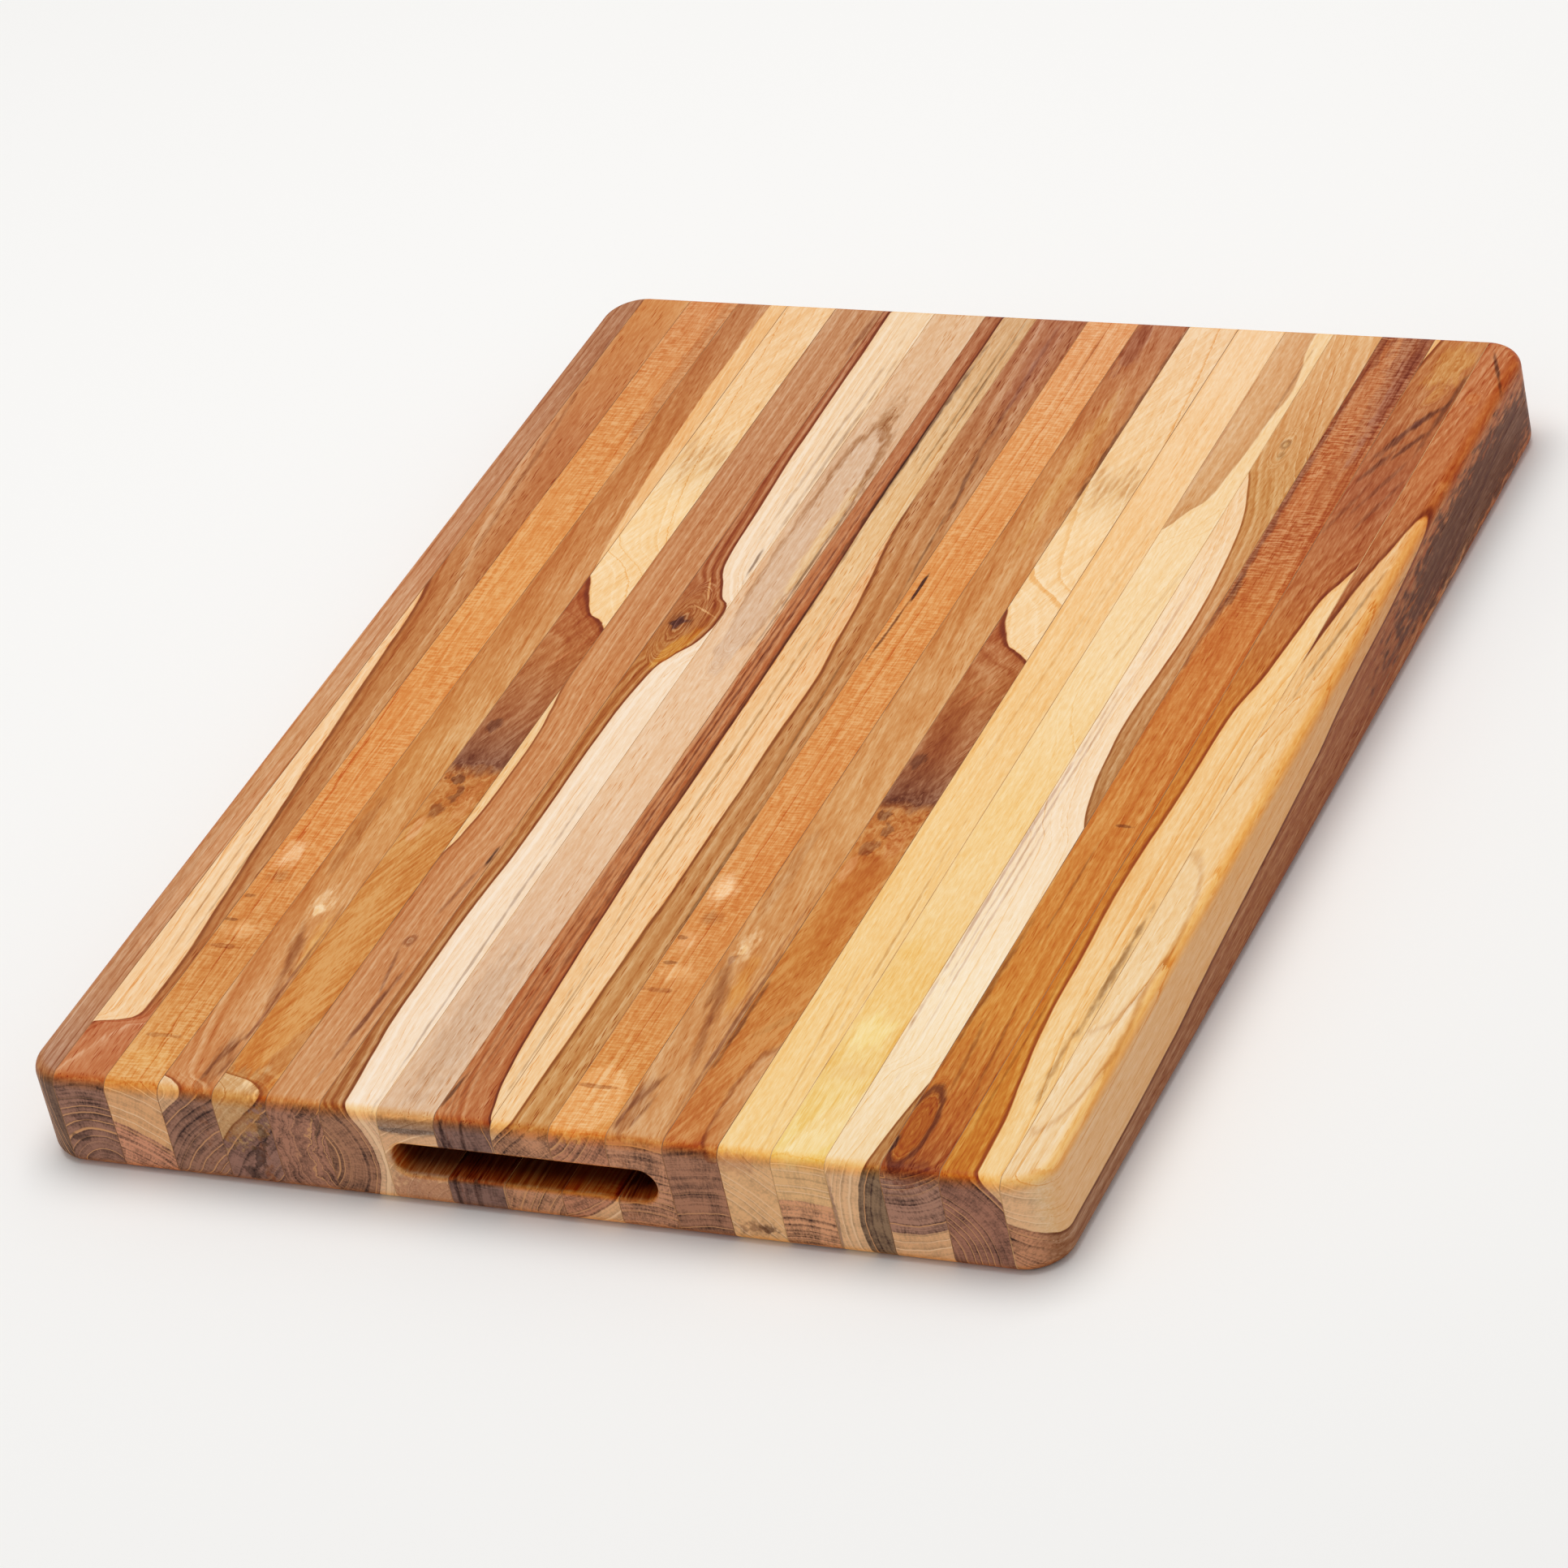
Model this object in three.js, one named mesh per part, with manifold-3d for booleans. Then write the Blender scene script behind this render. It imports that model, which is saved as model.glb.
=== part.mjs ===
// Edge-grain cutting board: 19 solid teak staves glued side by side, with a routed finger grip in each
// end-grain end. Millimetres. X runs across the staves, Y along their grain, Z up. The origin is the
// centre of the underside, so the board stands on Z = 0.
import * as THREE from "three";
import { mergeVertices } from "three/addons/utils/BufferGeometryUtils.js";
import Module from "manifold-3d";

const wasm = await Module();
wasm.setup();

// Driving dimensions.
const LENGTH = 508; // along the grain, Y
const WIDTH = 381; // across the staves, X
const THICKNESS = 38.1;
const CORNER_RADIUS = 16; // plan corners
const EDGE_RADIUS = 4.8; // round-over of the top and bottom edges
const GRIP_LENGTH = 99; // finger grip, across X
const GRIP_HEIGHT = 12.7; // a half-inch cutter
const GRIP_DEPTH = 20; // into the end, along Y
const GRIP_LIP_RADIUS = 1.6; // eased mouth of the grip
const GLUE_THICKNESS = 0.26; // one cured glue film
const GLUE_CLEARANCE = 0.02; // between a film and each stave it bonds

// Widths of the staves from -X to +X. The last one, which takes what is left, isn't listed.
// The two outer staves are narrower, because the glued panel was trimmed square.
const STAVE_WIDTHS = [
  13.5, 20.3, 21.0, 21.3, 20.9, 20.5, 21.7, 21.6, 21.3, 21.4,
  21.2, 20.8, 19.9, 19.2, 19.4, 19.5, 20.9, 21.3,
];

// Facets of the round shapes.
const EDGE_FACETS = 6;
const CORNER_FACETS = 8;
const GRIP_END_FACETS = 20;
const LIP_FACETS = 4;

const HEARTWOOD = 0xa8693a;
const SAPWOOD = 0xd9b27c;
const PALE_STAVES = [8, 14, 15, 16, 19]; // mostly sapwood
const OILED_WOOD_ROUGHNESS = 0.55;
const CURED_GLUE = 0x4a2f1c;
const CURED_GLUE_ROUGHNESS = 0.4;

const QUARTER_TURN = Math.PI / 2;
const MERGE_DISTANCE = 1e-4; // points nearer than this are one point

// Where the glue joints are across X, worked out from the widths.
let joint = -WIDTH / 2;
const jointPlanes = STAVE_WIDTHS.map((width) => (joint += width));

// A closed three.js geometry as a manifold-3d solid.
function solidOf(geometry) {
  const bare = geometry.index ? geometry.toNonIndexed() : geometry.clone();
  bare.deleteAttribute("normal");
  bare.deleteAttribute("uv");
  const merged = mergeVertices(bare, MERGE_DISTANCE);
  return new wasm.Manifold(
    new wasm.Mesh({
      numProp: 3,
      vertProperties: merged.attributes.position.array,
      triVerts: new Uint32Array(merged.index.array),
    }),
  );
}

function geometryOf(solid) {
  const { vertProperties, triVerts } = solid.getMesh();
  const geometry = new THREE.BufferGeometry();
  geometry.setAttribute("position", new THREE.BufferAttribute(vertProperties, 3));
  geometry.setIndex(new THREE.BufferAttribute(triVerts, 1));
  return geometry;
}

// The whole panel before it is divided: a slab with round plan corners and rounded edges.
function panelSolid() {
  const reachX = WIDTH / 2 - CORNER_RADIUS;
  const reachY = LENGTH / 2 - CORNER_RADIUS;
  const corners = [[1, 1], [-1, 1], [-1, -1], [1, -1]]; // anticlockwise
  const outline = new THREE.Shape();
  corners.forEach(([sideX, sideY], turns) => {
    const start = turns * QUARTER_TURN;
    outline.absarc(sideX * reachX, sideY * reachY, CORNER_RADIUS, start, start + QUARTER_TURN);
  });
  const slab = new THREE.ExtrudeGeometry(outline, {
    depth: THICKNESS - 2 * EDGE_RADIUS,
    bevelThickness: EDGE_RADIUS,
    bevelSize: EDGE_RADIUS,
    bevelOffset: -EDGE_RADIUS,
    bevelSegments: EDGE_FACETS,
    curveSegments: CORNER_FACETS,
  });
  return solidOf(slab.translate(0, 0, EDGE_RADIUS));
}

// One section of the grip at depth y: a slot with round ends in the XZ plane, grown all round.
function gripSection(y, growth) {
  const radius = GRIP_HEIGHT / 2 + growth;
  const reach = (GRIP_LENGTH - GRIP_HEIGHT) / 2;
  const points = [];
  for (const side of [1, -1]) {
    for (let i = 0; i <= GRIP_END_FACETS; i++) {
      const angle = -side * QUARTER_TURN + (Math.PI * i) / GRIP_END_FACETS;
      const x = side * reach + radius * Math.cos(angle);
      const z = THICKNESS / 2 + radius * Math.sin(angle);
      points.push([x, y, z]);
    }
  }
  return points;
}

// What a cutter takes out of the -Y end: flared at the mouth, then straight to a flat bottom.
function gripGeometry() {
  const mouth = -LENGTH / 2;
  const sections = [gripSection(mouth - GRIP_LIP_RADIUS, GRIP_LIP_RADIUS)];
  for (let i = 0; i <= LIP_FACETS; i++) {
    const turn = (QUARTER_TURN * i) / LIP_FACETS;
    const depth = GRIP_LIP_RADIUS * (1 - Math.cos(turn));
    const growth = GRIP_LIP_RADIUS * (1 - Math.sin(turn));
    sections.push(gripSection(mouth + depth, growth));
  }
  sections.push(gripSection(mouth + GRIP_DEPTH, 0));

  const count = sections[0].length;
  const last = (sections.length - 1) * count;
  const indices = [];
  for (let ring = 0; ring < last; ring += count) {
    for (let i = 0; i < count; i++) {
      const here = ring + i;
      const beside = ring + ((i + 1) % count);
      indices.push(here, beside + count, beside);
      indices.push(here, here + count, beside + count);
    }
  }
  for (let i = 1; i < count - 1; i++) {
    indices.push(0, i, i + 1);
    indices.push(last, last + i + 1, last + i);
  }
  const geometry = new THREE.BufferGeometry();
  geometry.setAttribute("position", new THREE.Float32BufferAttribute(sections.flat(2), 3));
  geometry.setIndex(indices);
  return geometry;
}

// The part of a solid that lies between two planes across X.
function sliceOf(solid, fromX, toX) {
  const beyondBoard = 2 * LENGTH;
  const slab = new THREE.BoxGeometry(toX - fromX, beyondBoard, beyondBoard);
  return solid.intersect(solidOf(slab.translate((fromX + toX) / 2, 0, 0)));
}

function addPiece(group, name, solid, color, roughness) {
  const material = new THREE.MeshStandardMaterial({ color, roughness, metalness: 0 });
  const mesh = new THREE.Mesh(geometryOf(solid), material);
  mesh.name = name;
  group.add(mesh);
}

function numbered(name, index) {
  return name + "_" + String(index + 1).padStart(2, "0");
}

const nearGrip = gripGeometry();
const farGrip = nearGrip.clone().rotateZ(Math.PI);
const board = panelSolid().subtract(solidOf(nearGrip)).subtract(solidOf(farGrip));
const group = new THREE.Group();

// A stave reaches from one joint to the next. The outermost planes lie outside the board.
const planes = [-WIDTH, ...jointPlanes, WIDTH];
const halfGap = GLUE_THICKNESS / 2 + GLUE_CLEARANCE;
for (let i = 0; i < planes.length - 1; i++) {
  const wood = sliceOf(board, planes[i] + halfGap, planes[i + 1] - halfGap);
  const color = PALE_STAVES.includes(i + 1) ? SAPWOOD : HEARTWOOD;
  addPiece(group, numbered("stave", i), wood, color, OILED_WOOD_ROUGHNESS);
}

jointPlanes.forEach((x, i) => {
  const film = sliceOf(board, x - GLUE_THICKNESS / 2, x + GLUE_THICKNESS / 2);
  addPiece(group, numbered("glue_line", i), film, CURED_GLUE, CURED_GLUE_ROUGHNESS);
});

export default group;
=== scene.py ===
"""The looks of an edge-grain teak cutting board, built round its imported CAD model.

The panel is modelled once, with its rounded edges and finger grips, and then cut into its staves and glue
films. Each stave's wood is one solid procedural pattern: growth rings round a pith, so that the figure on
the faces, the edges, the end grain and inside the grips all agree.
Lengths are in metres, except in the wood patterns, which are in millimetres.
"""

import math
from dataclasses import dataclass

import bmesh
import bpy
from mathutils import Matrix, Vector


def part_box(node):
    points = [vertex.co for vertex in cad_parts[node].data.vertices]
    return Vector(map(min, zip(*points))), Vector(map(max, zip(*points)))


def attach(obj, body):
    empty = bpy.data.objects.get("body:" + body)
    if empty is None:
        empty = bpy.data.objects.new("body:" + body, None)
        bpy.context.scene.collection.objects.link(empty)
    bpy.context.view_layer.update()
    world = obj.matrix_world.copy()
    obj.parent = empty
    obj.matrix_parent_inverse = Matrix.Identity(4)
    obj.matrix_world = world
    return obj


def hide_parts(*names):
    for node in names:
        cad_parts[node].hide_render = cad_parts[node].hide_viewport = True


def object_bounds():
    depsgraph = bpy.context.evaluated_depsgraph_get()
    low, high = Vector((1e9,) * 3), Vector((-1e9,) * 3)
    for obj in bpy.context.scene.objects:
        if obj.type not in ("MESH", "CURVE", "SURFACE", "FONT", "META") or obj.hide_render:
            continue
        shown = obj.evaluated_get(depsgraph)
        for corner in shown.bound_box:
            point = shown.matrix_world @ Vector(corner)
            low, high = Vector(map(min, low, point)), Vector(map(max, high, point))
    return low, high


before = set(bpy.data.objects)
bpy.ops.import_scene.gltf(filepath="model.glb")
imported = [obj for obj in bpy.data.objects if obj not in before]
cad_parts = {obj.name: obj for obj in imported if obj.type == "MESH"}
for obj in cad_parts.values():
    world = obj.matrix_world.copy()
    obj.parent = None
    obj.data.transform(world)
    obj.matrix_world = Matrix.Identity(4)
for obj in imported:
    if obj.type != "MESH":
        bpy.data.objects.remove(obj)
cad_low, cad_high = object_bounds()

MM = 0.001
SIZE = cad_high - cad_low

# The shape, as the CAD has it.
CORNER_RADIUS = 16 * MM
EDGE_RADIUS = 4.8 * MM
GRIP_LENGTH = 99 * MM
GRIP_HEIGHT = 12.7 * MM
GRIP_DEPTH = 20 * MM
GRIP_LIP_RADIUS = 1.6 * MM
GLUE_RECESS = 0.05 * MM  # how far a glue film shrinks below the wood as it cures

CORNER_STEPS = 24
EDGE_STEPS = 12
GRIP_END_STEPS = 32
LIP_STEPS = 6
SHARP_ANGLE = math.radians(35)

# The board in millimetres, for the wood patterns.
LENGTH_MM = SIZE.y / MM
TOP_MM = SIZE.z / MM

X, Y, Z = range(3)


# ---------------------------------------------------------------- shapes


def arc(steps):
    """Angles from 0 to a quarter turn."""
    return [math.pi / 2 * i / steps for i in range(steps + 1)]


def loft(loops):
    """A closed skin over loops of equally many points, with a flat face on each end."""
    shape = bmesh.new()
    rings = [[shape.verts.new(point) for point in loop] for loop in loops]
    count = len(loops[0])
    for ring, next_ring in zip(rings, rings[1:]):
        for i in range(count):
            j = (i + 1) % count
            shape.faces.new((ring[i], ring[j], next_ring[j], next_ring[i]))
    shape.faces.new(reversed(rings[0]))
    shape.faces.new(rings[-1])
    bmesh.ops.recalc_face_normals(shape, faces=shape.faces)
    return shape


def board_outline(inset, z):
    """The board's plan at height z, drawn in by inset. Corner points stay matched from level to level."""
    half_x = SIZE.x / 2 - CORNER_RADIUS
    half_y = SIZE.y / 2 - CORNER_RADIUS
    radius = CORNER_RADIUS - inset
    points = []
    for turns, (side_x, side_y) in enumerate([(1, 1), (-1, 1), (-1, -1), (1, -1)]):
        for angle in arc(CORNER_STEPS):
            angle += turns * math.pi / 2
            x = side_x * half_x + radius * math.cos(angle)
            y = side_y * half_y + radius * math.sin(angle)
            points.append((x, y, z))
    return points


def board_skin(recess):
    """The rounded panel without its grips, drawn in all round by recess."""
    levels = [(EDGE_RADIUS * (1 - math.sin(a)), EDGE_RADIUS * (1 - math.cos(a))) for a in arc(EDGE_STEPS)]
    lower = [board_outline(inset + recess, max(z, recess)) for inset, z in levels]
    upper = [board_outline(inset + recess, SIZE.z - max(z, recess)) for inset, z in reversed(levels)]
    return loft(lower + upper)


def grip_section(depth, growth):
    """A round-ended slot in the -Y end at a depth, grown all round."""
    radius = GRIP_HEIGHT / 2 + growth
    reach = (GRIP_LENGTH - GRIP_HEIGHT) / 2
    points = []
    for side in (1, -1):
        for i in range(GRIP_END_STEPS + 1):
            angle = math.pi * i / GRIP_END_STEPS - side * math.pi / 2
            x = side * reach + radius * math.cos(angle)
            z = SIZE.z / 2 + radius * math.sin(angle)
            points.append((x, depth - SIZE.y / 2, z))
    return points


def grip_skin(recess):
    """What the cutter takes out of the -Y end: an eased mouth, then a straight slot."""
    lip = GRIP_LIP_RADIUS
    sections = [grip_section(-lip, lip + recess)]
    for angle in arc(LIP_STEPS):
        sections.append(grip_section(lip * (1 - math.cos(angle)), lip * (1 - math.sin(angle)) + recess))
    sections.append(grip_section(GRIP_DEPTH + recess, recess))
    return loft(sections)


def new_object(name, shape):
    mesh = bpy.data.meshes.new(name)
    shape.to_mesh(mesh)
    shape.free()
    thing = bpy.data.objects.new(name, mesh)
    bpy.context.scene.collection.objects.link(thing)
    return thing


def routed_panel(recess):
    """The whole board's mesh with a grip cut into each end."""
    panel = new_object("panel", board_skin(recess))
    cutters = [new_object("cutter", grip_skin(recess)) for _ in range(2)]
    cutters[1].data.transform(Matrix.Rotation(math.pi, 4, "Z"))
    cutters[1].data.update()
    for cutter in cutters:
        cut = panel.modifiers.new("grip", "BOOLEAN")
        cut.operation = "DIFFERENCE"
        cut.solver = "EXACT"
        cut.object = cutter
    graph = bpy.context.evaluated_depsgraph_get()
    mesh = bpy.data.meshes.new_from_object(panel.evaluated_get(graph))
    for thing in [panel, *cutters]:
        bpy.data.objects.remove(thing)
    return mesh


def slice_of(panel, name, low_x, high_x):
    """The part of the panel between two planes across X, as a smooth-shaded piece with capped sides."""
    shape = bmesh.new()
    shape.from_mesh(panel)
    for x, outward in ((low_x, -1), (high_x, 1)):
        everything = shape.verts[:] + shape.edges[:] + shape.faces[:]
        cut = bmesh.ops.bisect_plane(
            shape, geom=everything, plane_co=(x, 0, 0), plane_no=(outward, 0, 0), clear_outer=True
        )
        rim = [part for part in cut["geom_cut"] if isinstance(part, bmesh.types.BMEdge)]
        if rim:
            bmesh.ops.contextual_create(shape, geom=rim)
    bmesh.ops.recalc_face_normals(shape, faces=shape.faces)
    for face in shape.faces:
        face.smooth = True
    piece = new_object(name, shape)
    piece.data.set_sharp_from_angle(angle=SHARP_ANGLE)
    weighted = piece.modifiers.new("flat faces stay flat", "WEIGHTED_NORMAL")
    weighted.keep_sharp = True
    weighted.weight = 100
    return piece


# ---------------------------------------------------------------- materials


SHEEN = 0.01  # what an oiled surface adds to every channel under the studio light


def colour(code):
    """A linear RGBA colour from a six-digit screen colour."""
    channels = [int(code[i : i + 2], 16) / 255 for i in (0, 2, 4)]
    linear = [c / 12.92 if c <= 0.04045 else ((c + 0.055) / 1.055) ** 2.4 for c in channels]
    return (*linear, 1.0)


def pigment(code):
    """The colour that looks like the given screen colour once the sheen lies over it."""
    *channels, alpha = colour(code)
    return (*(max(c - SHEEN, 0.004) for c in channels), alpha)


class Nodes:
    """Adds nodes to one material. An input is a number, a vector, a colour or another node's output."""

    def __init__(self, name):
        self.material = bpy.data.materials.new(name)
        self.material.use_nodes = True
        self.tree = self.material.node_tree
        self.tree.nodes.clear()

    def add(self, kind, inputs, output=0, **settings):
        node = self.tree.nodes.new("ShaderNode" + kind)
        for name, value in settings.items():
            setattr(node, name, value)
        for key, value in inputs.items():
            socket = node.inputs[key]
            if isinstance(value, bpy.types.NodeSocket):
                self.tree.links.new(value, socket)
            elif socket.type == "VECTOR":
                socket.default_value = value[:3]
            else:
                socket.default_value = value
        return None if output is None else node.outputs[output]

    def finish(self, **inputs):
        """Ends the material in one shader. An underscore stands for a space in an input's name."""
        named = {name.replace("_", " "): value for name, value in inputs.items()}
        shader = self.add("BsdfPrincipled", named)
        self.add("OutputMaterial", {"Surface": shader}, None)
        return self.material

    def math(self, operation, *values):
        return self.add("Math", dict(enumerate(values)), operation=operation)

    def times(self, first, second):
        return self.math("MULTIPLY", first, second)

    def minus(self, first, second):
        return self.math("SUBTRACT", first, second)

    def part(self, vector, axis):
        return self.add("SeparateXYZ", {0: vector}, axis)

    def reach(self, vector, axis):
        """How far a vector goes along an axis, either way."""
        return self.math("ABSOLUTE", self.part(vector, axis))

    def vector(self, operation, *values, output=0):
        return self.add("VectorMath", dict(enumerate(values)), output, operation=operation)

    def step(self, value, low, high):
        """0 at low and 1 at high, with a smooth step between them. Low may be the greater."""
        return self.add("MapRange", {0: value, 1: low, 2: high}, interpolation_type="SMOOTHSTEP")

    def scaled(self, value, low, high):
        """A value from 0 to 1, spread over low to high."""
        return self.math("MULTIPLY_ADD", value, high - low, low)

    def plus(self, total, value, amount):
        """The total with an amount of the value added."""
        return self.math("MULTIPLY_ADD", value, amount, total)

    def plus_noise(self, total, value, amount):
        """The total moved up or down by noise that is 0.5 on average."""
        return self.math("ADD", total, self.scaled(value, -amount / 2, amount / 2))

    def mix(self, factor, first, second, blend="MIX"):
        return self.add("Mix", {0: factor, 6: first, 7: second}, 2, data_type="RGBA", blend_type=blend)

    def stained(self, base, density):
        """A colour with its pigment more or less dense. Denser wood is both darker and richer."""
        return self.add("Gamma", {0: base, 1: density})

    def scale(self, value, amount):
        """A vector or a colour with all its parts multiplied by one amount."""
        return self.vector("SCALE", value, (0, 0, 0), (0, 0, 0), amount)

    def place_in_mm(self):
        return self.scale(self.add("TexCoord", {}, "Object"), 1 / MM)

    def along_board(self, place):
        """0 at the near end and 1 at the far end."""
        return self.math("MULTIPLY_ADD", self.part(place, Y), 1 / LENGTH_MM, 0.5)

    def noise(self, place, per_mm, seed, detail=2.0, output="Fac"):
        spot = self.vector("MULTIPLY_ADD", place, per_mm, (seed, 2 * seed, 3 * seed))
        return self.add("TexNoise", {"Vector": spot, "Scale": 1.0, "Detail": detail}, output)

    def noise_line(self, value, seed, detail=2.0):
        """Noise along one measure."""
        spot = self.math("ADD", value, seed)
        inputs = {"W": spot, "Scale": 1.0, "Detail": detail}
        return self.add("TexNoise", inputs, noise_dimensions="1D")

    def ramp(self, along, stops):
        """A colour that changes along the board. Each stop is (y, colour code)."""
        output = self.add("ValToRGB", {0: along})
        elements = output.node.color_ramp.elements
        stops = sorted(stops)
        while len(elements) < len(stops):
            elements.new(1.0)
        if len(stops) == 1:
            elements.remove(elements[1])
        for element, (y, code) in zip(elements, stops):
            element.position = y / LENGTH_MM + 0.5
            element.color = pigment(code)
        return output

    def curve(self, along, points):
        """A measure in millimetres that changes smoothly along the board. Each point is (y, measure)."""
        points = sorted(points)
        low = min(value for _, value in points)
        span = max(value for _, value in points) - low
        if span == 0:
            return low
        output = self.add("FloatCurve", {"Value": along})
        mapping = output.node.mapping
        line = mapping.curves[0]
        while len(line.points) < len(points):
            line.points.new(0.5, 0.5)
        for point, (y, value) in zip(line.points, points):
            point.location = (y / LENGTH_MM + 0.5, (value - low) / span)
            point.handle_type = "AUTO_CLAMPED"
        mapping.update()
        return self.scaled(output, low, low + span)


@dataclass
class Spot:
    """A local figure on the work surface: a knot, an eye of rings, a burl, or a stain."""

    x: float
    y: float
    half_x: float
    half_y: float
    tint: str = ""
    strength: float = 0.6  # of the tint
    z: float = 0.0
    half_z: float = 0.0  # the spot goes right through the wood if this is 0
    eye: float = 0.0  # the distance in millimetres over which its rings are counted, or none
    burl: float = 0.0  # how far it stirs the grain, in millimetres
    lean: float = 0.0  # degrees that its length turns from +Y towards +X
    rough: float = 1.6  # how broken its edge is
    soft: float = 0.45  # width of its edge, as a part of its reach


@dataclass
class Stave:
    """One stave's wood. Edge is (y, x): where the reference ring meets the work surface."""

    heart: tuple  # (y, colour code) along the stave
    edge: tuple
    pith: tuple  # (x, z) from the reference ring to the pith
    level: tuple = ((0, 0.0),)  # (y, z): how far the reference ring lies above the work surface
    sap: tuple = ()  # (y, colour code) of the sapwood
    sap_side: int = 1  # the sapwood is outside the reference ring, or inside it if -1
    end: str = "9c7058"  # colour code of the heartwood's end grain
    ring: float = 3.2  # mean ring width
    rings: float = 1.0  # how strongly they show
    streak: float = 0.35  # bands that follow the rings
    rim: float = 0.9  # how dark the heartwood is where it meets the sapwood
    rim_width: float = 2.5  # in millimetres
    pores: float = 0.5
    curl: tuple = ()  # (y, strength) of ripples across the grain
    figure: float = 0.0  # strength of long flames along the fibres
    slant: float = 0.0  # degrees that the fibres turn from +Y towards +X
    spots: tuple = ()


def mark(x, y, reach, tint, strength=0.6, lean=0.0, half_x=0.5):
    """A narrow line or streak along the grain. Reach is half its length."""
    return Spot(x, y, 1.5 * half_x, reach, tint, strength, lean=lean, rough=1.4, soft=0.8)


def fringe(x, y):
    """Short strokes side by side across a stave, whose lower ends hang in two scallops."""
    strokes = []
    for i, drop in enumerate((4, -3, -6, -1, 5, -2, -5)):
        reach = 9 + i % 3 * 3
        strokes.append(mark(x + 2.7 * i, y + drop, reach, "c4823f", 0.5, 3, 0.9))
    return strokes


def torn_fibres(x):
    """Short dark tears across curly grain, and the pale patch between them."""
    return (
        Spot(x - 3, -160, 3.5, 1.2, "8a4a24", 0.7, burl=2),
        Spot(x, -175, 8, 1.4, "a85c2c", burl=2),
        Spot(x - 4, -146, 2.5, 1.4, "8e4a22", burl=2),
        Spot(x + 3, -165, 8, 6, "ecb478", 0.7, soft=0.8),
    )


def small_knot(x):
    """A pale knot with golden and dark grain trailing away from it."""
    return (
        Spot(x, -147, 5.5, 10, "eec492", burl=9, rough=3, soft=0.8),
        Spot(x - 0.5, -150, 2.2, 3.5, "f8dcb0", 0.65, burl=5, rough=2.4),
        Spot(x + 7, -168, 4, 24, "e0a04c", 0.5, lean=-6, soft=0.9),
        mark(x + 1.5, -173, 22, "8a4824", 0.6, -14, 2.2),
        mark(x + 5.5, -197, 22, "94522c", 0.5, -12, 1.8),
    )


def dark_fan(x):
    """Dark streaks that spread towards the near end."""
    return (
        Spot(x, -236, 5, 20, "a2663e", soft=0.7),
        mark(x - 1.7, -236, 15, "6a2e18", 0.6, 6, 1.0),
        mark(x + 1.3, -227, 13, "74381e", 0.6, 14, 0.9),
        mark(x + 3.5, -238, 12, "6a2e18", 0.5, 6, 0.8),
    )


def burl(x):
    """A stirred patch of dark and golden wood, and a pale line above it."""
    return (
        Spot(x, -72, 13, 24, burl=14),
        Spot(x - 6, -36, 3, 5, "5a3026", 0.55),
        Spot(x - 5, -68, 3.5, 4, "6a3a28", 0.65),
        Spot(x - 1, -78, 2.5, 5, "7a442c"),
        Spot(x - 5, -88, 3, 5, "84492e", 0.55),
        Spot(x + 5, -84, 4, 12, "d08c54", 0.5),
        Spot(x - 7, -100, 2.5, 9, "dd9c66", 0.5),
        mark(x + 1, 8, 14, "d48c5c", 0.5, 24, 0.45),
    )


staves = []


def add_stave(**wood):
    staves.append(Stave(**wood))


add_stave(  # 1
    heart=((-254, "b5876c"), (-200, "c4906a"), (-60, "d09a6c"), (60, "cb9670"), (254, "b5805f")),
    edge=((-254, -170), (254, -166)),
    pith=(60, -8),
    ring=2.6,
    end="6e5546",
    spots=(
        mark(-176, 190, 60, "85452f", 0.3, -3, 1.0),
        Spot(-180, -120, 3.5, 75, "dba87e", 0.5),
    ),
)
add_stave(  # 2
    heart=((-254, "cf9064"), (-218, "cb875e"), (-206, "c89060"), (0, "c78c58"), (150, "cb8f62"),
           (254, "d99f68")),
    sap=((-254, "f2cc9e"), (0, "f0c594")),
    edge=((-254, -190), (-222, -176), (-214, -162), (-200, -162), (-150, -164.7), (-100, -168.2),
          (-50, -170.8), (0, -173), (40, -176), (70, -182), (254, -196)),
    pith=(26, -40),
    pores=1.0,
    streak=0.45,
    end="9c756a",
    spots=(
        mark(-171, 120, 90, "8e4c24", 0.5, -4, 0.9),
        mark(-166, -110, 70, "8a5a34", 0.45, -1.5, 0.4),
        mark(-170, -140, 70, "a8703c", 0.45, -3, 0.4),
        Spot(-169, -254, 5, 4, "5a3e38", z=21, half_z=1.6),
        Spot(-172, -254, 5, 4, "4a3834", z=12.5, half_z=2),
    ),
)
add_stave(  # 3
    heart=((0, "b0714c"),),
    sap=((-254, "dc9c58"), (-180, "d08a4b"), (-120, "da904f"), (60, "dd9552"), (170, "d99356"),
         (254, "d08854")),
    edge=((-254, -146), (254, -146)),
    level=((-254, -20.5), (254, -28)),
    pith=(-26, -50),
    streak=0.18,
    curl=((0, 0.9),),
    pores=0.3,
    end="f1ab88",
    spots=(
        Spot(-138, 205, 4, 65, "be7e50"),
        Spot(-150, -120, 6, 10, "f2c08c", 0.8, soft=0.8),
        Spot(-148, -134, 6, 5, "b06a38", soft=0.8),
        *torn_fibres(-150),
        Spot(-147, -226, 8, 1.4, "a8602e", burl=2),
        Spot(-146, -238, 9, 7, "e2a860", 0.45),
    ),
)
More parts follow.
